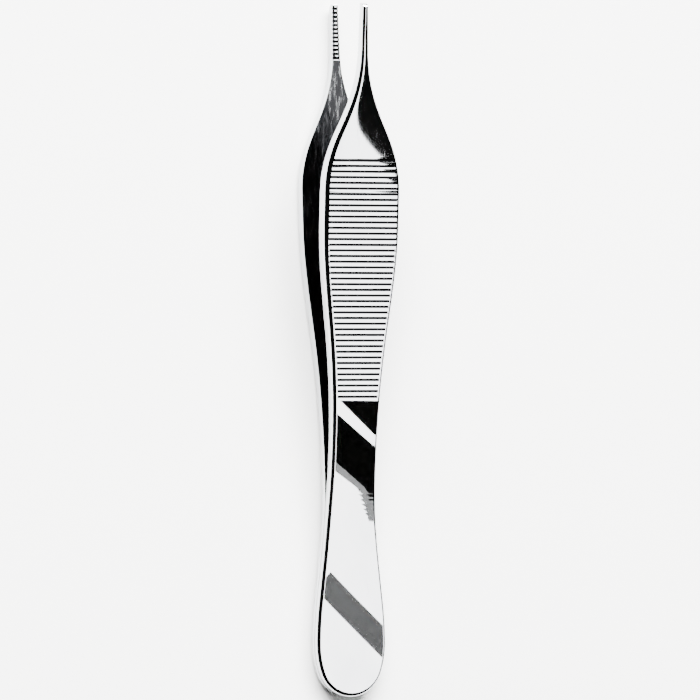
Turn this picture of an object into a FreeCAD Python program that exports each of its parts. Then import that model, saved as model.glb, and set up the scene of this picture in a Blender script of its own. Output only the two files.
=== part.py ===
import FreeCAD, Part
import math
import os

# Thumb forceps with fine serrated tips and a cross-grooved grip, in millimetres.
# Two spring arms of stainless steel are welded face to face at the heel and stand
# apart towards the tips. Each arm is one forging: a plan outline crossed with a
# bowed side profile, its edges broken, its back grooved for the thumb, and its tip
# toothed.
#
# An arm is drawn with the heel's end at the origin, +Y towards the tip, X across
# and +Z outwards from the weld plane. The pair then lies on one arm's back, as it
# comes to rest on a table, with the origin under its middle.

# Lengths of the plan outline, heel to tip
heel_length = 9.2
handle_length = 32.3
spring_length = 40.8
grip_length = 5.0
shoulder_length = 24.7
jaw_length = 8.0

# Widths of the plan outline
heel_width = 13.8
waist_width = 9.05
grip_width = 15.1
jaw_width = 1.4
tip_width = 1.1

# Thickness of one arm
heel_thickness = 1.25
grip_thickness = 2.11
tip_thickness = 1.45

# Clear space between the arms, sprung open, where the grip starts and at the tips
grip_opening = 5.65
tip_opening = 9.4

# The weld, and the bends that set the arms apart
weld_length = 32.4
flat_back_length = 26.0
crotch_bend_radius = 30.0
back_bend_radius = 110.0
splay_angle = 5.2

# How far the edges of the back and of the inner face are broken, and the rounding of
# the tip in side view
back_edge_break = 0.42
inner_edge_break = 0.12
tip_nose_radius = 1.05

# Grip grooves across each back, counted down from the shoulder. They stop short of
# the broken edges, and their ends slope up to the surface.
groove_pitch = 0.972
groove_width = 0.46
groove_floor = 0.16
groove_depth = 0.2
groove_end_run = 0.4
groove_edge_gap = 0.2
groove_band_length = 41.3
groove_band_lead = 5.5

# Teeth across the inner face of each tip, counted back from the tip
tooth_pitch = 0.713
tooth_gap_width = 0.5
tooth_depth = 0.25
tooth_band_length = 8.9
tooth_band_lead = 0.4

# The heel's end arc as a share of half the heel's width, the flank's steepest angle
# against its mean one, and the share of its bends that belongs to the heel's side
heel_end_fullness = 0.93
flank_steepness = 1.6
flank_round_share = 0.28

# How softly each longer stretch of an outline leaves one station and meets the next,
# as shares of the stretch's own length
spring_ease = (0.506, 0.328)
shoulder_ease = (0.421, 0.477)
bow_ease = (1 / 3, 1 / 3)

# A cutter or blank stands this far past what it cuts
overrun = 2.0

waist_station = heel_length + handle_length
grip_station = waist_station + spring_length
shoulder_station = grip_station + grip_length
jaw_station = shoulder_station + shoulder_length
length = jaw_station + jaw_length
widest = max(heel_width, waist_width, grip_width)

grip_inner = grip_opening / 2
tip_inner = tip_opening / 2
grip_outer = grip_inner + grip_thickness
tip_outer = tip_inner + tip_thickness
jaw_way = FreeCAD.Vector((tip_width - jaw_width) / 2 / jaw_length, 1, 0)
inner_slope = (tip_inner - grip_inner) / (length - grip_station)
splay = math.radians(splay_angle)

document = FreeCAD.newDocument("forceps")

# The back of the grip is straight in side view and in line with the heel's end, so a
# lying pair touches the table with both. From the shoulder to the nose the back is
# straight again and falls away from the table.
rest_slope = (grip_outer - heel_thickness) / (grip_station - back_edge_break)
shoulder_outer = grip_outer + grip_length * rest_slope
nose_slope = (tip_outer - shoulder_outer) / (length - shoulder_station)


def vector(x, y, z):
    return FreeCAD.Vector(x, y, z)


def line(start, end):
    return Part.LineSegment(start, end).toShape()


def curve(start, start_pull, end_pull, end):
    """A smooth stretch: it leaves start along start_pull and arrives along end_pull."""
    bezier = Part.BezierCurve()
    bezier.setPoles([start, start + start_pull, end - end_pull, end])
    return bezier.toShape()


def stretch(start, start_way, end, end_way, ease):
    """A smooth stretch between two stations, with ways given per unit of length."""
    run = end.y - start.y
    return curve(start, start_way * (run * ease[0]), end_way * (run * ease[1]), end)


def edge_point(width, station):
    return vector(width / 2, station, 0)


def plan_arc(centre, radius, start_angle, end_angle):
    """An arc in plan, its angles in radians from +X towards +Y."""

    def at(angle):
        return centre + vector(math.cos(angle), math.sin(angle), 0) * radius

    return Part.Arc(at(start_angle), at((start_angle + end_angle) / 2), at(end_angle)).toShape()


def heel_end():
    """The round end of the heel, and the fuller arc that carries it to its widest."""
    half = heel_width / 2
    end_radius = half * heel_end_fullness
    rise = heel_length - end_radius
    cheek_radius = (half**2 + rise**2 - end_radius**2) / (2 * (half - end_radius))
    cheek_centre = vector(half - cheek_radius, heel_length, 0)
    end_centre = vector(0, end_radius, 0)
    way = end_centre - cheek_centre
    meeting = math.atan2(way.y, way.x)
    return [
        plan_arc(end_centre, end_radius, -math.pi / 2, meeting),
        plan_arc(cheek_centre, cheek_radius, meeting, 0),
    ]


def handle_flank():
    """From the heel's widest to the waist: a round bend, a straight, a hollow bend."""
    drop = (heel_width - waist_width) / 2
    angle = flank_steepness * math.atan(drop / handle_length)
    bends = handle_length * math.sin(angle) - drop * math.cos(angle)
    bends = bends / (1 - math.cos(angle))
    round_radius = bends * flank_round_share
    hollow_radius = bends - round_radius
    round_centre = edge_point(heel_width, heel_length) - vector(round_radius, 0, 0)
    hollow_centre = edge_point(waist_width, waist_station) + vector(hollow_radius, 0, 0)
    round_bend = plan_arc(round_centre, round_radius, 0, angle)
    hollow_bend = plan_arc(hollow_centre, hollow_radius, math.pi + angle, math.pi)
    straight = line(
        round_bend.valueAt(round_bend.LastParameter),
        hollow_bend.valueAt(hollow_bend.FirstParameter),
    )
    return [round_bend, straight, hollow_bend]


def grip_flanks():
    """From the waist out to the grip's widest, and from there in to the jaw."""
    along = vector(0, 1, 0)
    waist = edge_point(waist_width, waist_station)
    grip = edge_point(grip_width, grip_station)
    shoulder = edge_point(grip_width, shoulder_station)
    jaw = edge_point(jaw_width, jaw_station)
    return [
        stretch(waist, along, grip, along, spring_ease),
        line(grip, shoulder),
        stretch(shoulder, along, jaw, jaw_way, shoulder_ease),
    ]


def plan_outline():
    """The outline seen from the back: round heel, waist, broad grip, fine jaw."""
    jaw = edge_point(jaw_width, jaw_station)
    past_tip = jaw + jaw_way * (jaw_length + overrun)
    right = heel_end() + handle_flank() + grip_flanks() + [line(jaw, past_tip)]
    left = [edge.mirror(vector(0, 0, 0), vector(1, 0, 0)) for edge in right]
    end = line(past_tip, vector(-past_tip.x, past_tip.y, 0))
    return Part.Wire(Part.__sortEdges__(right + left + [end]))


def bend(start, radius):
    """An arc that turns from along the weld plane to the splay of the arms."""

    def at(angle):
        return start + vector(0, radius * math.sin(angle), radius * (1 - math.cos(angle)))

    return Part.Arc(at(0), at(splay / 2), at(splay)).toShape(), at(splay)


def back_curves(nose_start):
    """The back in side view, from the end of the heel's flat to the nose."""
    splay_way = vector(0, 1, math.tan(splay))
    rest_way = vector(0, 1, rest_slope)
    grip = vector(0, grip_station, grip_outer)
    shoulder = vector(0, shoulder_station, shoulder_outer)
    bent, bend_end = bend(vector(0, flat_back_length, heel_thickness), back_bend_radius)
    return [
        bent,
        stretch(bend_end, splay_way, grip, rest_way, bow_ease),
        line(grip, shoulder),
        line(shoulder, nose_start),
    ]


def nose():
    """Three points of the arc that joins the tip's end to the back."""
    lean = math.hypot(1, nose_slope)
    centre_z = tip_outer - tip_nose_radius * (nose_slope + lean)
    centre = vector(0, length - tip_nose_radius, centre_z)
    turn = math.pi / 2 + math.atan(nose_slope)
    return [
        centre + vector(0, math.cos(angle), math.sin(angle)) * tip_nose_radius
        for angle in (0, turn / 2, turn)
    ]


def side_profile():
    """One arm's section along its length: flat heel, bowed grip, rounded nose."""
    splay_way = vector(0, 1, math.tan(splay))
    straight_way = vector(0, 1, inner_slope)
    weld_start = vector(0, -overrun, 0)
    weld_end = vector(0, weld_length, 0)
    inner_grip = vector(0, grip_station, grip_inner)
    inner_tip = vector(0, length, tip_inner)
    crotch, crotch_end = bend(weld_end, crotch_bend_radius)
    flat_end = vector(0, flat_back_length, heel_thickness)
    flat_start = vector(0, -overrun, heel_thickness)
    nose_end, nose_middle, nose_start = nose()
    return Part.Wire([
        line(weld_start, weld_end),
        crotch,
        stretch(crotch_end, splay_way, inner_grip, straight_way, bow_ease),
        line(inner_grip, inner_tip),
        line(inner_tip, nose_end),
        Part.Arc(nose_end, nose_middle, nose_start).toShape(),
        *reversed(back_curves(nose_start)),
        line(flat_end, flat_start),
        line(flat_start, weld_start),
    ])


def blank():
    """The sharp-edged arm: the plan outline crossed with the side profile."""
    plan = Part.Face(plan_outline()).extrude(vector(0, 0, tip_outer + overrun))
    section = Part.Face(side_profile())
    section.translate(vector(-widest / 2 - overrun, 0, 0))
    profile = section.extrude(vector(widest + 2 * overrun, 0, 0))
    return plan.common(profile).Solids[0]


def facing(face):
    """Which way a face of the arm looks: side, inner or back."""
    u_low, u_high, v_low, v_high = face.ParameterRange
    normal = face.normalAt((u_low + u_high) / 2, (v_low + v_high) / 2)
    if abs(normal.x) > 1e-6:
        return "side"
    return "inner" if normal.z < -0.5 else "back"


def numbers_between(solid, first, second):
    """Numbers of the edges where faces of two facings meet."""
    edges = {way: [] for way in ("side", "inner", "back")}
    for face in solid.Faces:
        edges[facing(face)] += face.Edges
    return [
        number
        for number, edge in enumerate(solid.Edges, 1)
        if any(edge.isSame(other) for other in edges[first])
        and any(edge.isSame(other) for other in edges[second])
    ]


def broken(solid):
    """Chamfers the long edges of an arm, the back's wider than the inner face's."""
    sharp = document.addObject("Part::Feature", "sharp")
    sharp.Shape = solid
    chamfer = document.addObject("Part::Chamfer", "chamfer")
    chamfer.Base = sharp
    chamfer.Edges = [
        (number, size, size)
        for facing_way, size in (("inner", inner_edge_break), ("back", back_edge_break))
        for number in numbers_between(solid, "side", facing_way)
    ]
    document.recompute()
    return chamfer.Shape.Solids[0]


def passing(edge, station):
    """Where a stretch passes a station, and its way there per unit of length."""
    low, high = edge.ParameterRange
    while high - low > 1e-7:
        middle = (low + high) / 2
        if edge.valueAt(middle).y < station:
            low = middle
        else:
            high = middle
    way = edge.tangentAt(low)
    return edge.valueAt(low), way * (1 / way.y)


def at_station(edges, station):
    """Passes the stretch of an outline that spans a station."""
    for edge in edges:
        if edge.valueAt(edge.LastParameter).y >= station:
            return passing(edge, station)
    raise ValueError("the outline ends before the station")


def groove(station):
    """A cutter for one grip groove: a trough with slanting walls and sloping ends."""
    edge = at_station(grip_flanks(), station)[0]
    half_length = edge.x - back_edge_break - groove_edge_gap
    half_width = groove_width / 2
    flare = half_width - groove_floor / 2
    trough = Part.makeWedge(
        groove_end_run - half_length, -groove_depth, flare - half_width,
        -half_width - flare, -half_length - groove_end_run,
        half_length - groove_end_run, groove_depth, half_width - flare,
        half_width + flare, half_length + groove_end_run,
    )
    back, rise = at_station(back_curves(nose()[-1]), station)
    trough.rotate(vector(0, 0, 0), vector(1, 0, 0), 90 + math.degrees(math.atan(rise.z)))
    trough.translate(vector(0, station, back.z))
    return trough


def grip_grooves():
    top_station = shoulder_station + groove_band_lead
    count = int(groove_band_length / groove_pitch) + 1
    return [groove(top_station - number * groove_pitch) for number in range(count)]


def tooth_gaps(shift):
    """Gaps between the teeth, shifted on one arm so that the two rows mesh."""
    cutters = []
    for number in range(int(tooth_band_length / tooth_pitch) + 1):
        station = length - tooth_band_lead - (number + shift) * tooth_pitch
        height = tip_inner - (length - station) * inner_slope
        corners = [
            vector(0, -tooth_gap_width, -tooth_depth),
            vector(0, 0, tooth_depth),
            vector(0, tooth_gap_width, -tooth_depth),
        ]
        gap = Part.Face(Part.makePolygon(corners + corners[:1]))
        gap.rotate(vector(0, 0, 0), vector(1, 0, 0), math.degrees(math.atan(inner_slope)))
        gap.translate(vector(-widest / 2, station, height))
        cutters.append(gap.extrude(vector(widest, 0, 0)))
    return cutters


def arm(tooth_shift):
    """One finished arm, with its weld face on the plane z = 0."""
    return broken(blank()).cut(grip_grooves() + tooth_gaps(tooth_shift)).Solids[0]


def main():
    top = arm(tooth_shift=0)
    bottom = arm(tooth_shift=0.5)
    bottom.rotate(vector(0, 0, 0), vector(0, 1, 0), 180)
    pair = {"top_arm": top, "bottom_arm": bottom}
    for shape in pair.values():
        shape.rotate(vector(0, 0, 0), vector(1, 0, 0), math.degrees(math.atan(rest_slope)))
    box = Part.makeCompound(list(pair.values())).optimalBoundingBox(False, False)
    place = vector(-box.Center.x, -box.Center.y, -box.ZMin)
    os.makedirs("parts", exist_ok=True)
    for name, shape in pair.items():
        shape.translate(place)
        shape.exportStep("parts/" + name + ".step")


main()
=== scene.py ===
"""Thumb forceps of polished steel on a pale studio floor.

An arm is forged at the origin with its heel's end there, +Y towards the tip, X across
and +Z outwards from the weld plane. It is then laid where the frame has it.
"""

import math

import bmesh
import bpy
import numpy as np
from bpy.props import FloatProperty, FloatVectorProperty, PointerProperty
from bpy.types import Operator, Panel, PropertyGroup
from mathutils import Matrix, Vector
from mathutils.geometry import interpolate_bezier


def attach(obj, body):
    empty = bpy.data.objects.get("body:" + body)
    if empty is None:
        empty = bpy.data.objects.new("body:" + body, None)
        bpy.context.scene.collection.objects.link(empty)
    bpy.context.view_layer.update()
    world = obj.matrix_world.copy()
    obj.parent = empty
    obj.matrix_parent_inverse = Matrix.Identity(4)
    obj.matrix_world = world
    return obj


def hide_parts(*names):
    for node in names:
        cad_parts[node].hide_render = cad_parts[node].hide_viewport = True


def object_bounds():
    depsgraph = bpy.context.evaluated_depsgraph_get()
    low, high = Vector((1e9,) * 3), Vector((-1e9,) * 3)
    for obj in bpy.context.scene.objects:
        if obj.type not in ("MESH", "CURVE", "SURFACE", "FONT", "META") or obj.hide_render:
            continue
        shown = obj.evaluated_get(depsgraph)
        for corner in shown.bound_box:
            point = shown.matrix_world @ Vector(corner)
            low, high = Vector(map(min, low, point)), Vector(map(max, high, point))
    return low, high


bl_info = {
    "name": "Thumb forceps",
    "version": (1, 0, 0),
    "blender": (4, 5, 0),
    "location": "View3D > Sidebar > Forceps",
    "description": "Builds a pair of steel thumb forceps and the studio they lie in",
    "category": "Mesh",
}

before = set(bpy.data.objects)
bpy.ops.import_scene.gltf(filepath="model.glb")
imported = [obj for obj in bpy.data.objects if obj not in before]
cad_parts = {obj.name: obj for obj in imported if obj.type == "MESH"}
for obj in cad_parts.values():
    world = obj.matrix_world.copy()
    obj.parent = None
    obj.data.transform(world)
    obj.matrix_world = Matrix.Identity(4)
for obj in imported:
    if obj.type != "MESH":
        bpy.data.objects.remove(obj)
cad_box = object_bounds()
mm = 0.001

# Least height of a unit normal that counts as facing straight up or down
LEVEL = 0.9
# How far a curve keeps the way of its start and of its end, as shares of its run
SPRING_EASE = (0.506, 0.328)
SHOULDER_EASE = (0.421, 0.477)
BOW_EASE = (1 / 3, 1 / 3)
CURVE_STEPS = 40
NOSE_STEPS = 12


def size(name, value, description):
    """A length that the panel offers, given in millimetres."""
    return FloatProperty(
        name=name, description=description, default=value * mm, unit="LENGTH", precision=5
    )


def share(name, value, description):
    """A bare number that the panel offers."""
    return FloatProperty(name=name, description=description, default=value, min=0)


def tint(name, value, description):
    """A colour that the panel offers."""
    return FloatVectorProperty(
        name=name, description=description, default=value, subtype="COLOR", min=0, max=1
    )


class ForcepsArm(PropertyGroup):
    """Sizes of one arm, heel to tip."""

    heel_length: size("Heel length", 9.2, "From the heel's end to its widest")
    handle_length: size("Handle length", 32.3, "From the heel's widest to the waist")
    spring_length: size("Spring length", 40.8, "From the waist to the grip")
    grip_length: size("Grip length", 5.0, "Straight stretch at the grip's widest")
    shoulder_length: size("Shoulder length", 24.7, "From the grip to the jaw")
    jaw_length: size("Jaw length", 8.0, "The fine end that holds")
    heel_width: size("Heel width", 13.8, "Across the heel")
    waist_width: size("Waist width", 9.05, "Across the narrowest of the handle")
    grip_width: size("Grip width", 15.1, "Across the grip")
    jaw_width: size("Jaw width", 1.4, "Across the start of the jaw")
    tip_width: size("Tip width", 1.1, "Across the tip")
    heel_thickness: size("Heel thickness", 1.25, "One arm, where it is welded")
    grip_thickness: size("Grip thickness", 2.11, "One arm, where the grip starts")
    tip_thickness: size("Tip thickness", 1.45, "One arm, at the tip")
    grip_opening: size("Grip opening", 5.65, "Between the arms, where the grip starts")
    tip_opening: size("Tip opening", 9.4, "Between the tips")
    weld_length: size("Weld length", 32.4, "Where the arms lie on each other")
    flat_back: size("Flat back", 26.0, "From the heel's end to the bend of the back")
    crotch_radius: size("Crotch bend", 30.0, "Bend of the inner face")
    back_radius: size("Back bend", 110.0, "Bend of the back")
    splay: FloatProperty(
        name="Splay", description="How far the arms bend apart", subtype="ANGLE",
        default=math.radians(5.2),
    )
    nose_radius: size("Nose radius", 1.05, "Rounding of the tip in side view")
    rest_break: size("Rest break", 0.42, "Of the heel's end, which meets the floor")
    handle_rounding: size("Handle rounding", 0.7, "Of the back's edges, on the handle")
    grip_rounding: size("Grip rounding", 0.85, "Of the back's edges, on the grip")
    jaw_rounding: size("Jaw rounding", 0.48, "Of the back's edges, on the jaw")
    tip_rounding: size("Tip rounding", 0.15, "Of the back's edges, at the tip")
    inner_rounding: size("Inner rounding", 0.14, "Of the edges of the inner face")
    end_fullness: share("Heel fullness", 0.93, "End radius over half the width")
    flank_steepness: share("Flank steepness", 1.6, "Steepest angle over the mean")
    flank_share: share("Flank share", 0.28, "Share of the bends by the heel")


class ForcepsCuts(PropertyGroup):
    """Sizes of the grip grooves and of the teeth."""

    groove_pitch: size("Groove pitch", 0.972, "From groove to groove")
    groove_width: size("Groove width", 0.46, "Across one groove")
    groove_floor: size("Groove floor", 0.16, "Flat floor of one groove")
    groove_depth: size("Groove depth", 0.2, "Below the back")
    groove_run: size("Groove end", 0.4, "Where a groove slopes up to the back")
    groove_border: size("Groove border", 0.82, "Plain steel beside the grooves")
    band_length: size("Grip band", 41.3, "Length that the grooves cover")
    band_lead: size("Grip band lead", 5.5, "How far the band starts past the grip")
    tooth_pitch: size("Tooth pitch", 0.713, "From tooth to tooth")
    tooth_gap: size("Tooth gap", 0.5, "Across a gap between teeth")
    tooth_depth: size("Tooth depth", 0.25, "Height of a tooth")
    teeth_length: size("Toothed length", 8.9, "Length that the teeth cover")
    teeth_lead: size("Toothed lead", 0.4, "From the tip to the first gap")


class ForcepsSteel(PropertyGroup):
    """Colours and finish of the steel, with the painted shade of its grooves and inner faces and
    painted glints.
    """

    bright: tint("Bright steel", (0.63, 0.64, 0.655), "Polished faces")
    dull: tint("Dull steel", (0.5, 0.51, 0.53), "Where the polish is worn")
    # Painted shade: near-black colour for the shade in the grooves and in the gaps between teeth
    groove_shade: tint("Groove shade", (0.008, 0.008, 0.009), "In the grooves and gaps")
    # Painted shade: near-black colour for the shade between the arms on the inner faces
    ground: tint("Inner shade", (0.05, 0.051, 0.054), "The inner faces")
    # Painted glints: paler patches on the shaded inner faces
    painted_glint: tint("Painted glints", (0.4, 0.405, 0.415), "Brighter patches of the inner faces")
    gloss: share("Roughness", 0.01, "Of the best polished faces")
    grain_depth: size("Grain depth", 0.0001, "Depth of the polishing lines")


class ForcepsStudio(PropertyGroup):
    """The floor, the lights and the camera."""

    floor: tint("Floor", (0.86, 0.86, 0.85), "The pale floor")
    room: tint("Room", (0.8, 0.8, 0.8), "The light of the room")
    room_light: share("Room light", 0.008, "Strength of the room's light")
    strip_light: share("Strip light", 8, "Strength of the mirrored strips")
    box_light: share("Box light", 85, "Strength of the soft box that lights the floor")
    floor_width: FloatProperty(
        name="Floor width", description="Across the square floor", default=12, unit="LENGTH"
    )
    strip_width: FloatProperty(
        name="Strip width", description="Of the mirrored strips, across the arms",
        default=0.5, unit="LENGTH",
    )
    distance: FloatProperty(
        name="Camera distance", description="From the forceps to the camera",
        default=2.0, unit="LENGTH",
    )
    strip_distance: FloatProperty(
        name="Strip distance", description="From the forceps to the mirrored strips",
        default=1.0, unit="LENGTH",
    )
    turn: FloatProperty(
        name="View turn", description="How far the pair is seen from the side",
        default=math.radians(30), subtype="ANGLE",
    )


def arc(centre, radius, start, end, steps):
    """Points of an arc in plan, its angles in radians from +X towards +Y."""
    angles = np.linspace(start, end, steps + 1)
    return [centre + Vector((math.cos(a), math.sin(a), 0)) * radius for a in angles]


def sweep(start, start_way, end, end_way, ease):
    """Points of a smooth stretch, with ways given per unit of length."""
    run = end.y - start.y
    leaving = start + start_way * (run * ease[0])
    arriving = end - end_way * (run * ease[1])
    return interpolate_bezier(start, leaving, arriving, end, CURVE_STEPS + 1)


def heel_points(arm):
    """Half the heel's outline: its end arc and the fuller arc up to its widest."""
    half = arm.heel_width / 2
    end_radius = half * arm.end_fullness
    rise = arm.heel_length - end_radius
    cheek_radius = (half**2 + rise**2 - end_radius**2) / (2 * (half - end_radius))
    end = Vector((0, end_radius, 0))
    cheek = Vector((half - cheek_radius, arm.heel_length, 0))
    meeting = math.atan2(end.y - cheek.y, end.x - cheek.x)
    points = arc(end, end_radius, -math.pi / 2, meeting, steps=CURVE_STEPS)[1:]
    return points + arc(cheek, cheek_radius, meeting, 0, steps=8)[1:]


def flank_points(arm):
    """Half the handle's outline: a round bend, a straight and a hollow bend."""
    drop = (arm.heel_width - arm.waist_width) / 2
    angle = arm.flank_steepness * math.atan(drop / arm.handle_length)
    bends = arm.handle_length * math.sin(angle) - drop * math.cos(angle)
    bends = bends / (1 - math.cos(angle))
    round_radius = bends * arm.flank_share
    hollow_radius = bends - round_radius
    waist = arm.heel_length + arm.handle_length
    round_centre = Vector((arm.heel_width / 2 - round_radius, arm.heel_length, 0))
    hollow_centre = Vector((arm.waist_width / 2 + hollow_radius, waist, 0))
    hollow = arc(hollow_centre, hollow_radius, math.pi + angle, math.pi, steps=24)
    return arc(round_centre, round_radius, 0, angle, steps=16)[1:] + hollow


def plan_points(arm):
    """Half the outline seen from the back, from the heel's end to the tip."""
    along = Vector((0, 1, 0))
    waist = Vector((arm.waist_width / 2, arm.heel_length + arm.handle_length, 0))
    grip = Vector((arm.grip_width / 2, waist.y + arm.spring_length, 0))
    shoulder = grip + along * arm.grip_length
    jaw = Vector((arm.jaw_width / 2, shoulder.y + arm.shoulder_length, 0))
    tip = Vector((arm.tip_width / 2, jaw.y + arm.jaw_length, 0))
    jaw_way = (tip - jaw) / arm.jaw_length
    spring = sweep(waist, along, grip, along, SPRING_EASE)
    shoulders = sweep(shoulder, along, jaw, jaw_way, SHOULDER_EASE)
    return heel_points(arm) + flank_points(arm) + spring[1:] + shoulders + [tip]


def bend_points(start, radius, splay, steps=12):
    """Points of the bend that turns an arm out of the weld plane."""
    angles = np.linspace(0, splay, steps + 1)
    return [
        start + Vector((0, radius * math.sin(a), radius * (1 - math.cos(a)))) for a in angles
    ]


def side_points(arm):
    """The inner face and the back in side view, from the heel's end to the tip."""
    splay_way = Vector((0, 1, math.tan(arm.splay)))
    waist = arm.heel_length + arm.handle_length
    grip = waist + arm.spring_length
    shoulder = grip + arm.grip_length
    length = shoulder + arm.shoulder_length + arm.jaw_length

    inner_grip = Vector((0, grip, arm.grip_opening / 2))
    inner_tip = Vector((0, length, arm.tip_opening / 2))
    inner_way = (inner_tip - inner_grip) / (length - grip)
    crotch = bend_points(Vector((0, arm.weld_length, 0)), arm.crotch_radius, arm.splay)
    inner_bow = sweep(crotch[-1], splay_way, inner_grip, inner_way, BOW_EASE)
    inner = [Vector((0, 0, 0))] + crotch + inner_bow[1:] + [inner_tip]

    outer_grip = inner_grip + Vector((0, 0, arm.grip_thickness))
    outer_tip = inner_tip + Vector((0, 0, arm.tip_thickness))
    rest_slope = (outer_grip.z - arm.heel_thickness) / grip
    rest_way = Vector((0, 1, rest_slope))
    outer_shoulder = outer_grip + rest_way * arm.grip_length
    flat_end = Vector((0, arm.flat_back, arm.heel_thickness))
    back_bend = bend_points(flat_end, arm.back_radius, arm.splay)
    back_bow = sweep(back_bend[-1], splay_way, outer_grip, rest_way, BOW_EASE)
    back = [Vector((0, 0, arm.heel_thickness))] + back_bend + back_bow[1:]
    back.append(outer_shoulder)

    # The nose touches the straight of the back and the end of the tip
    slope = (outer_tip.z - outer_shoulder.z) / (length - shoulder)
    radius = arm.nose_radius
    centre_z = outer_tip.z - radius * (slope + math.hypot(1, slope))
    for angle in np.linspace(math.pi / 2 + math.atan(slope), 0, NOSE_STEPS + 1):
        run = radius * math.cos(angle)
        back.append(Vector((0, length - radius + run, centre_z + radius * math.sin(angle))))
    return inner, back


def on_outline(points, stations, axis):
    """Where an outline stands at each station, read along one axis."""
    return np.interp(stations, [p.y for p in points], [p[axis] for p in points])


def deselect():
    bpy.ops.object.select_all(action="DESELECT")


def select_faces(chosen):
    """In edit mode, selects the faces that a test picks."""
    mesh = bpy.context.edit_object.data
    bpy.ops.mesh.select_mode(type="FACE")
    bpy.ops.mesh.select_all(action="DESELECT")
    shape = bmesh.from_edit_mesh(mesh)
    shape.normal_update()
    for face in shape.faces:
        if chosen(face):
            face.select_set(True)
    shape.select_flush_mode()
    bmesh.update_edit_mesh(mesh)


def outline(arm):
    """Half the outline, with the slant along which its edges are drawn in.

    It runs from the middle of the heel's end to the middle of the tip's, with a point
    wherever the plan or the side view bends. It has none between the tip's end and the
    rounding of its corners, where the slanting lines would cross.
    """
    plan = plan_points(arm)
    stations = np.array(sorted({p.y for p in plan + sum(side_points(arm), [])}))
    end = plan[-1].y
    apart = np.diff(stations, prepend=-mm) > 0.02 * mm
    stations = np.append(stations[apart & (stations < end - arm.tip_rounding)], end)
    halves = on_outline([Vector()] + plan, stations, 0)
    points = np.vstack([np.stack([halves, stations], axis=1), (0, stations[-1])])

    steps = np.diff(points, axis=0)
    inward = np.stack([-steps[:, 1], steps[:, 0]], axis=1)
    inward /= np.linalg.norm(steps, axis=1)[:, None]
    mirrored = inward * (-1, 1)
    before = np.vstack([mirrored[:1], inward])
    after = np.vstack([inward, mirrored[-1:]])
    return points, (before + after) / (1 + (before * after).sum(axis=1))[:, None]


def rounding(points, slants, profile, radii, way, segments):
    """The rings of one rounded edge, from the face that it bounds to the side."""
    rings = []
    for angle in np.linspace(0, math.pi / 2, segments + 1):
        ring = points + slants * (radii * (1 - math.sin(angle)))[:, None]
        heights = on_outline(profile, ring[:, 1], 2) + way * radii * (1 - math.cos(angle))
        rings.append(np.column_stack([ring, heights]))
    return rings


def forged(name, arm):
    """One arm with rounded edges: a sheet that is wrapped round its sections."""
    inner, back = side_points(arm)
    points, slants = outline(arm)
    waist = arm.heel_length + arm.handle_length
    grip = waist + arm.spring_length
    neck = grip + arm.grip_length + arm.shoulder_length / 2
    jaw = neck + arm.shoulder_length / 2
    nose = jaw + arm.jaw_length - arm.nose_radius
    radii = np.interp(
        points[:, 1],
        (waist, grip, neck, jaw, nose, nose + arm.nose_radius),
        (arm.handle_rounding, arm.grip_rounding, arm.grip_rounding, arm.jaw_rounding,
         arm.jaw_rounding, arm.tip_rounding),
    )
    inner_radii = np.full(len(points), arm.inner_rounding)
    right = rounding(points, slants, back, radii, way=-1, segments=6)
    right += reversed(rounding(points, slants, inner, inner_radii, way=1, segments=2))
    left = [ring * (-1, 1, 1) for ring in reversed(right)]
    rings = np.stack(right + left + right[:1], axis=1)

    deselect()
    bpy.ops.mesh.primitive_grid_add(
        x_subdivisions=rings.shape[1] - 1, y_subdivisions=rings.shape[0] - 1
    )
    piece = bpy.context.object
    piece.name = piece.data.name = name
    piece.data.vertices.foreach_set("co", rings.ravel())
    bpy.ops.object.mode_set(mode="EDIT")
    bpy.ops.mesh.select_all(action="SELECT")
    bpy.ops.mesh.remove_doubles(threshold=mm / 500)
    bpy.ops.mesh.dissolve_degenerate(threshold=mm / 1000)
    bpy.ops.mesh.normals_make_consistent(inside=False)
    bpy.ops.object.mode_set(mode="OBJECT")
    return piece


def groove_cutter(arm, cuts):
    """A trough with slanting walls and sloping ends, as long as the grip is wide."""
    half = arm.grip_width / 2 - cuts.groove_border
    run = cuts.groove_run
    deselect()
    bpy.ops.mesh.primitive_cube_add(
        size=1, scale=(2 * (half - run), cuts.groove_floor, 2 * cuts.groove_depth)
    )
    bpy.ops.object.transform_apply(scale=True)
    bpy.ops.object.mode_set(mode="EDIT")
    select_faces(lambda face: face.normal.z > LEVEL)
    bpy.ops.transform.resize(
        value=(
            (half + run) / (half - run),
            (2 * cuts.groove_width - cuts.groove_floor) / cuts.groove_floor,
            1,
        ),
        center_override=(0, 0, cuts.groove_depth),
    )
    bpy.ops.object.mode_set(mode="OBJECT")
    return bpy.context.object


def gap_cutter(cuts):
    """A three-sided bar that cuts one gap between two teeth, its edge upwards."""
    proud = 0.05 * mm
    bar_length = 8 * mm
    tall = cuts.tooth_depth + proud
    wide = cuts.tooth_gap * tall / cuts.tooth_depth
    deselect()
    bpy.ops.mesh.primitive_cube_add(
        size=1, location=(0, 0, tall / 2 - proud), scale=(bar_length, wide, tall)
    )
    bpy.ops.object.transform_apply(location=True, scale=True)
    bpy.ops.object.mode_set(mode="EDIT")
    select_faces(lambda face: face.normal.z > LEVEL)
    bpy.ops.transform.resize(value=(1, 0, 1), center_override=(0, 0, cuts.tooth_depth))
    bpy.ops.mesh.select_all(action="SELECT")
    bpy.ops.mesh.remove_doubles(threshold=mm / 1000)
    bpy.ops.object.mode_set(mode="OBJECT")
    return bpy.context.object


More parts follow.
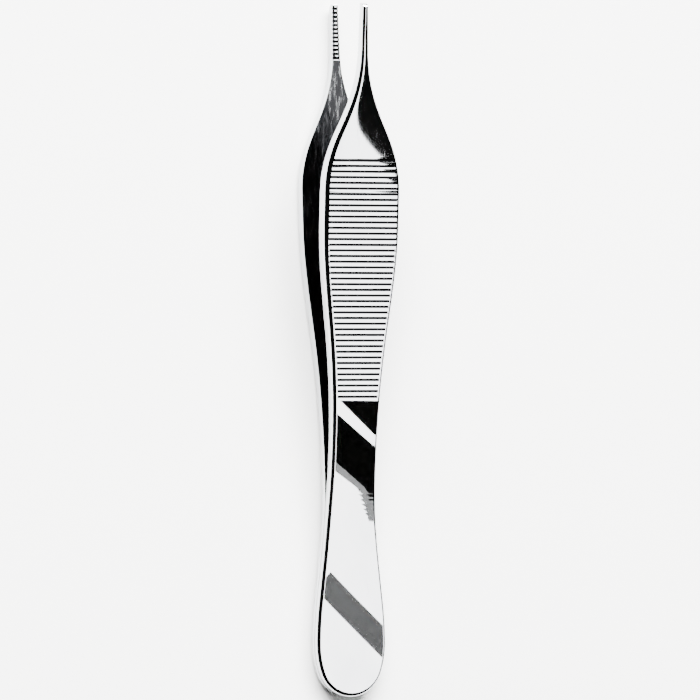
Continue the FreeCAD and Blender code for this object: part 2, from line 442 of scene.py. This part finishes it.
def groove_places(arm, cuts):
    """Where each groove goes: its place, its slope and its share of full length."""
    plan = plan_points(arm)
    back = side_points(arm)[1]
    grip_end = arm.heel_length + arm.handle_length + arm.spring_length + arm.grip_length
    count = int(cuts.band_length / cuts.groove_pitch) + 1
    stations = grip_end + cuts.band_lead - np.arange(count) * cuts.groove_pitch
    halves = on_outline(plan, stations, 0) - cuts.groove_border
    heights = on_outline(back, stations, 2)
    slopes = (on_outline(back, stations + mm / 2, 2) - on_outline(back, stations - mm / 2, 2)) / mm
    full = arm.grip_width / 2 - cuts.groove_border
    return [
        Matrix.Translation((0, station, height))
        @ Matrix.Rotation(math.atan(slope), 4, "X")
        @ Matrix.Diagonal((half / full, 1, 1, 1))
        for station, half, height, slope in zip(stations, halves, heights, slopes)
    ]


def gap_places(arm, cuts, shift):
    """Where each gap between teeth goes, shifted on one arm so that the rows mesh."""
    inner = side_points(arm)[0]
    tip = inner[-1]
    grip = inner[-2]
    slope = (tip.z - grip.z) / (tip.y - grip.y)
    count = int(cuts.teeth_length / cuts.tooth_pitch) + 1
    stations = tip.y - cuts.teeth_lead - (np.arange(count) + shift) * cuts.tooth_pitch
    return [
        Matrix.Translation((0, station, tip.z - (tip.y - station) * slope))
        @ Matrix.Rotation(math.atan(slope), 4, "X")
        for station in stations
    ]


def cut(piece, cutter, places, material):
    """Copies a cutter to its places and cuts them all from the piece at once."""
    cutter.data.materials.append(material)
    copies = []
    for place in places:
        copy = cutter.copy()
        copy.data = cutter.data.copy()
        copy.data.transform(place)
        bpy.context.collection.objects.link(copy)
        copies.append(copy)
    bpy.data.objects.remove(cutter)
    deselect()
    for copy in copies:
        copy.select_set(True)
    bpy.context.view_layer.objects.active = copies[0]
    bpy.ops.object.join()
    bpy.context.view_layer.objects.active = piece
    boolean = piece.modifiers.new("cuts", "BOOLEAN")
    boolean.object = copies[0]
    boolean.solver = "EXACT"
    boolean.material_mode = "TRANSFER"
    bpy.ops.object.modifier_apply(modifier=boolean.name)
    bpy.data.objects.remove(copies[0])


def resting_place(arm, turned):
    """How an arm that was forged at the origin is laid in the frame.

    The pair lies on the lower back's grip and on the foot of the heel's broken end.
    """
    grip = arm.heel_length + arm.handle_length + arm.spring_length
    height = arm.grip_opening / 2 + arm.grip_thickness
    tilt = math.atan((height - arm.heel_thickness) / (grip - arm.rest_break))
    lay = Matrix.Rotation(tilt, 4, "X")
    foot = lay @ Vector((0, arm.rest_break, -arm.heel_thickness))
    heel = lay @ Vector((0, 0, arm.heel_thickness - arm.rest_break))
    lay = Matrix.Translation((0, cad_box[0].y - heel.y, -foot.z)) @ lay
    if turned:
        lay = lay @ Matrix.Rotation(math.pi, 4, "Y")
    return lay


def make_arm(node, name, turned, tooth_shift):
    """Forges, rounds, cuts and lays one arm in the place of its frame node."""
    scene = bpy.context.scene
    arm, cuts = scene.forceps_arm, scene.forceps_cuts
    # The grooves and gaps take steel whose near-black colour is painted shade
    groove_shade = material(groove_shaded_steel)
    piece = forged(name, arm)
    piece.data.materials.append(material(polished_steel))
    piece.data.materials.append(material(ground_steel))
    jaw = side_points(arm)[0][-1].y - cuts.teeth_lead - cuts.teeth_length
    # The inner faces short of the teeth take steel whose colour is painted shade, with painted
    # glints
    for face in piece.data.polygons:
        if face.normal.z < -LEVEL and face.center.y < jaw:
            face.material_index = piece.data.materials.find("ground_steel")
    cut(piece, groove_cutter(arm, cuts), groove_places(arm, cuts), groove_shade)
    cut(piece, gap_cutter(cuts), gap_places(arm, cuts, tooth_shift), groove_shade)

    piece.data.transform(resting_place(arm, turned))
    deselect()
    piece.select_set(True)
    bpy.context.view_layer.objects.active = piece
    bpy.ops.object.shade_smooth_by_angle(angle=math.radians(30))
    weighted = piece.modifiers.new("flat faces", "WEIGHTED_NORMAL")
    weighted.keep_sharp = True
    bpy.ops.object.modifier_apply(modifier=weighted.name)
    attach(piece, "root")
    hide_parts(node)


class Socket:
    """A shader socket that takes part in Python's arithmetic."""

    def __init__(self, shader, output):
        self.shader = shader
        self.output = output

    def maths(self, operation, *values):
        return self.shader.node("ShaderNodeMath", {"operation": operation}, *values)

    def __add__(self, other):
        return self.maths("ADD", self, other)

    __radd__ = __add__

    def __mul__(self, other):
        return self.maths("MULTIPLY", self, other)

    __rmul__ = __mul__


class Shader:
    """A material's nodes, added by type, settings and inputs."""

    def __init__(self, name):
        self.material = bpy.data.materials.new(name)
        self.material.use_nodes = True
        self.tree = self.material.node_tree
        self.surface = self.tree.nodes["Principled BSDF"]

    def link(self, socket, value):
        if isinstance(value, Socket):
            self.tree.links.new(value.output, socket)
        else:
            socket.default_value = value

    def node(self, kind, settings, *values, output=0, **named):
        node = self.tree.nodes.new(kind)
        for setting, value in settings.items():
            setattr(node, setting, value)
        for index, value in enumerate(values):
            self.link(node.inputs[index], value)
        for name, value in named.items():
            self.link(node.inputs[name], value)
        return Socket(self, node.outputs[output])

    def place(self, scale):
        """Object coordinates in metres, scaled on each axis."""
        coordinates = self.node("ShaderNodeTexCoord", {}, output="Object")
        return self.node("ShaderNodeMapping", {}, coordinates, Scale=scale)

    def noise(self, scale, detail=2, roughness=0.5):
        """Soft noise around a half, as fine as the scale says, per metre."""
        return self.node(
            "ShaderNodeTexNoise", {}, Vector=self.place(scale), Scale=1,
            Detail=detail, Roughness=roughness,
        )

    def grain(self):
        """Fine lines along the arm, as polishing and grinding leave them."""
        return self.noise((5200, 160, 5200), 3, 0.6)

    def band(self, value, start, end):
        """Nought below start, one above end, smooth between."""
        return self.node(
            "ShaderNodeMapRange", {"interpolation_type": "SMOOTHSTEP"}, value, start, end, 0, 1
        )

    def blend(self, mask, first, second):
        """Goes from the first colour to the second as the mask goes from 0 to 1."""
        node = self.tree.nodes.new("ShaderNodeMix")
        node.data_type = "RGBA"
        self.link(node.inputs["Factor"], mask)
        self.link(node.inputs["A"], first)
        self.link(node.inputs["B"], second)
        for socket in node.outputs:
            if socket.type == "RGBA":
                return Socket(self, socket)

    def bump(self, height, depth):
        return self.node("ShaderNodeBump", {}, Height=height, Strength=1, Distance=depth)

    def finish(self, **sockets):
        for name, value in sockets.items():
            self.link(self.surface.inputs[name.replace("_", " ")], value)
        return self.material


def opaque(colour):
    return (*colour, 1)


def material(recipe):
    """The material that a function describes, built once and named after it."""
    name = recipe.__name__
    return bpy.data.materials.get(name) or recipe(Shader(name))


def polished_steel(shader):
    """Polished stainless steel with fine lengthwise lines and a little wear."""
    look = bpy.context.scene.forceps_steel
    grain = shader.grain()
    cloud = shader.noise((90, 60, 90), 3)
    fine = shader.noise((900, 30, 900), 4, 0.7)
    hairline = shader.band(shader.noise((2600, 210, 2600), 1), 0.66, 0.72)
    wear = shader.band(cloud, 0.45, 0.75)
    colour = shader.blend(
        wear * 0.6 + hairline * 0.4, opaque(look.bright), opaque(look.dull)
    )
    rough = look.gloss + 0.008 * wear + 0.006 * fine + 0.02 * hairline
    return shader.finish(
        Base_Color=colour,
        Metallic=1.0,
        Roughness=rough,
        Normal=shader.bump(grain, look.grain_depth),
    )


def ground_steel(shader):
    """The inner faces: ground, not polished, their near-black colour painted shade between the
    arms, with paler patches as painted glints.
    """
    look = bpy.context.scene.forceps_steel
    glint_patches = shader.band(shader.noise((1400, 260, 1400), 4, 0.65), 0.5, 0.66)
    grain = shader.grain()
    return shader.finish(
        # Painted shade with painted glints in patches, in place of the steel's own colour
        Base_Color=shader.blend(glint_patches, opaque(look.ground), opaque(look.painted_glint)),
        Metallic=1.0,
        Roughness=0.1 + 0.1 * grain,
        Normal=shader.bump(grain, look.grain_depth),
    )


def groove_shaded_steel(shader):
    """Duller steel in the grooves and between the teeth, its near-black colour painted shade,
    painted darker still in places.
    """
    look = bpy.context.scene.forceps_steel
    lines = shader.noise((500, 9000, 9000), 2)
    mottle = shader.noise((400, 400, 400), 3)
    # Painted shade: the near-black colour, mottled darker, stands in for the shade in the grooves
    # and gaps
    deeper_groove_shade = tuple(0.55 * part for part in look.groove_shade)
    return shader.finish(
        Base_Color=shader.blend(
            shader.band(mottle, 0.35, 0.7), opaque(look.groove_shade), opaque(deeper_groove_shade)
        ),
        Metallic=1.0,
        Roughness=0.4 + 0.15 * mottle,
        Normal=shader.bump(lines, look.grain_depth),
    )


def floor_paint(shader):
    """A matt pale floor with the faintest unevenness."""
    look = bpy.context.scene.forceps_studio
    cloud = shader.noise((14, 14, 14), 3)
    shade = tuple(0.97 * part for part in look.floor)
    return shader.finish(
        Base_Color=shader.blend(cloud, opaque(look.floor), opaque(shade)),
        Roughness=0.85,
        Normal=shader.bump(shader.noise((900, 900, 900), 4), 0.02 * mm),
    )


def card_felt(shade):
    """The dull felt of a card, from black to grey."""
    shader = Shader("card_felt")
    return shader.finish(
        Base_Color=opaque((shade, shade, shade)), Roughness=0.9, Specular_IOR_Level=0
    )


def add_light(name, brightness, width, height, matrix):
    """A rectangle of even light that shines along its own -Z."""
    data = bpy.data.lights.new(name, "AREA")
    data.shape = "RECTANGLE"
    data.size, data.size_y = width, height
    data.energy = brightness * math.pi * width * height
    light = bpy.data.objects.new(name, data)
    bpy.context.collection.objects.link(light)
    light.matrix_world = matrix


def mirrored_place(distance, along_arms=0, lean=0):
    """A place that the upper arm's back mirrors into the camera.

    It is given by how far out and how far along the arms it lies, and by how far its
    long edges lean off square across them.
    """
    studio, arm = bpy.context.scene.forceps_studio, bpy.context.scene.forceps_arm
    lay = resting_place(arm, False).to_3x3()
    along = lay @ Vector((0, 1, 0))
    out = lay @ Vector((math.sin(studio.turn), 0, math.cos(studio.turn)))
    place = out * distance + along * along_arms
    axes = Matrix((along.cross(out), along, out)).transposed().to_4x4()
    return Matrix.Translation(place) @ axes @ Matrix.Rotation(lean, 4, "Z")


def add_box_light(name, brightness, width, height, place):
    """A soft box that faces the middle of the floor."""
    aim = (-Vector(place)).to_track_quat("-Z", "Y").to_matrix().to_4x4()
    add_light(name, brightness, width, height, Matrix.Translation(place) @ aim)


def add_mirrored_light(name, start, end, lean=0):
    """A strip of light from start to end along the arms, mirrored into the camera."""
    studio = bpy.context.scene.forceps_studio
    matrix = mirrored_place(studio.strip_distance, (start + end) / 2, lean)
    height = (end - start) * math.cos(lean)
    add_light(name, studio.strip_light, studio.strip_width, height, matrix)


def add_dark_card(name, distance, shade, corners):
    """A card that only mirrors in the back below it: the camera doesn't see it.

    Its corners are given across and along the arms, in millimetres.
    """
    mesh = bpy.data.meshes.new(name)
    mesh.from_pydata([(x * mm, y * mm, 0) for x, y in corners], [], [range(len(corners))])
    mesh.transform(mirrored_place(distance))
    mesh.materials.append(card_felt(shade))
    card = bpy.data.objects.new(name, mesh)
    bpy.context.collection.objects.link(card)
    card.visible_camera = False


def add_cards():
    """The cards that give the dark fields under the grip and the grey band on the heel."""
    black, grey, pale = 0.001, 0.045, 0.12
    left, right, beyond = -6.95, 0.6, 16
    add_dark_card(
        "heel card", distance=0.085, shade=grey,
        corners=((-9.77, -42.86), (6.77, -58.84), (9.77, -55.74), (-6.77, -39.76)),
    )
    add_dark_card(
        "grip card", distance=0.055, shade=black,
        corners=((-6.47, -15.7), (beyond, -14.2), (beyond, -21.75), (right, -21.75)),
    )
    add_dark_card(
        "spring card", distance=0.055, shade=black,
        corners=((left, -18.2), (right, -23.8), (beyond, -23.8),
                 (beyond, -32.6), (right, -32.6), (left, -27.1)),
    )
    add_dark_card(
        "fade card", distance=0.055, shade=pale,
        corners=((left, -27.1), (right, -32.6), (beyond, -32.6),
                 (beyond, -33.6), (right, -33.6), (left, -28.9)),
    )


def add_camera():
    """The camera, square to the pair's length and turned about it as in the picture."""
    studio, arm = bpy.context.scene.forceps_studio, bpy.context.scene.forceps_arm
    # In the photo's pixels: its width, a metre's length, and where the heel's end stands
    picture_width, scale, centre_column, heel_row = 700, 5.7775 / mm, 348.7, 697
    lay = resting_place(arm, False)
    up = lay.to_3x3() @ Vector((0, 1, 0))
    out = lay.to_3x3() @ Vector((-math.sin(studio.turn), 0, math.cos(studio.turn)))
    right = up.cross(out)
    middle = lay @ Vector() + up * ((heel_row - picture_width / 2) / scale)
    middle = middle + right * ((picture_width / 2 - centre_column) / scale)
    data = bpy.data.cameras.new("camera")
    data.sensor_width = 36
    data.lens = data.sensor_width * scale * studio.distance / picture_width
    data.clip_end = 10 * studio.distance
    camera = bpy.data.objects.new("camera", data)
    bpy.context.collection.objects.link(camera)
    axes = Matrix((right, up, out)).transposed().to_4x4()
    camera.matrix_world = Matrix.Translation(middle + out * studio.distance) @ axes
    bpy.context.scene.camera = camera


class FORCEPS_OT_top_arm(Operator):
    """Forges the upper arm, with its grooves and its teeth"""

    bl_idname = "forceps.top_arm"
    bl_label = "Upper arm"

    def execute(self, context):
        make_arm("top_arm", "upper_arm", turned=False, tooth_shift=0)
        return {"FINISHED"}


class FORCEPS_OT_bottom_arm(Operator):
    """Forges the lower arm, its teeth shifted by half so that the rows mesh"""

    bl_idname = "forceps.bottom_arm"
    bl_label = "Lower arm"

    def execute(self, context):
        make_arm("bottom_arm", "lower_arm", turned=True, tooth_shift=0.5)
        return {"FINISHED"}


class FORCEPS_OT_studio(Operator):
    """Lays the floor and sets up the lights and the camera"""

    bl_idname = "forceps.studio"
    bl_label = "Studio"

    def execute(self, context):
        studio = context.scene.forceps_studio
        deselect()
        bpy.ops.mesh.primitive_plane_add(size=studio.floor_width, location=(0, 0, 0))
        floor = context.object
        floor.name = "floor"
        floor.data.materials.append(material(floor_paint))

        world = bpy.data.worlds.new("room")
        world.use_nodes = True
        background = world.node_tree.nodes["Background"]
        background.inputs["Color"].default_value = opaque(studio.room)
        background.inputs["Strength"].default_value = studio.room_light
        context.scene.world = world

        add_mirrored_light("long strip", start=-0.235, end=-0.03)
        add_mirrored_light("neck strip", start=-0.05, end=0.003, lean=math.radians(-40))
        add_mirrored_light("tooth strip", start=0.163, end=0.186)
        add_cards()
        far_box = (0, 1.3, 0.9)
        add_box_light("far box", studio.box_light, width=2.4, height=0.8, place=far_box)
        add_camera()
        return {"FINISHED"}


class FORCEPS_PT_panel(Panel):
    """Lists the steps and the sizes that they use"""

    bl_idname = "FORCEPS_PT_panel"
    bl_label = "Thumb forceps"
    bl_space_type = "VIEW_3D"
    bl_region_type = "UI"
    bl_category = "Forceps"

    def draw(self, context):
        for step in STEPS:
            self.layout.operator(step.bl_idname)
        for group, kind in GROUPS.items():
            box = self.layout.box()
            for name in kind.__annotations__:
                box.prop(getattr(context.scene, group), name)


GROUPS = {
    "forceps_arm": ForcepsArm,
    "forceps_cuts": ForcepsCuts,
    "forceps_steel": ForcepsSteel,
    "forceps_studio": ForcepsStudio,
}
STEPS = (FORCEPS_OT_top_arm, FORCEPS_OT_bottom_arm, FORCEPS_OT_studio)


def register():
    for kind in (*GROUPS.values(), *STEPS, FORCEPS_PT_panel):
        bpy.utils.register_class(kind)
    for group, kind in GROUPS.items():
        setattr(bpy.types.Scene, group, PointerProperty(type=kind))


def unregister():
    for group in GROUPS:
        delattr(bpy.types.Scene, group)
    for kind in (FORCEPS_PT_panel, *STEPS, *GROUPS.values()):
        bpy.utils.unregister_class(kind)


def main():
    register()
    bpy.ops.forceps.top_arm()
    bpy.ops.forceps.bottom_arm()
    bpy.ops.forceps.studio()


if __name__ == "__main__":
    main()
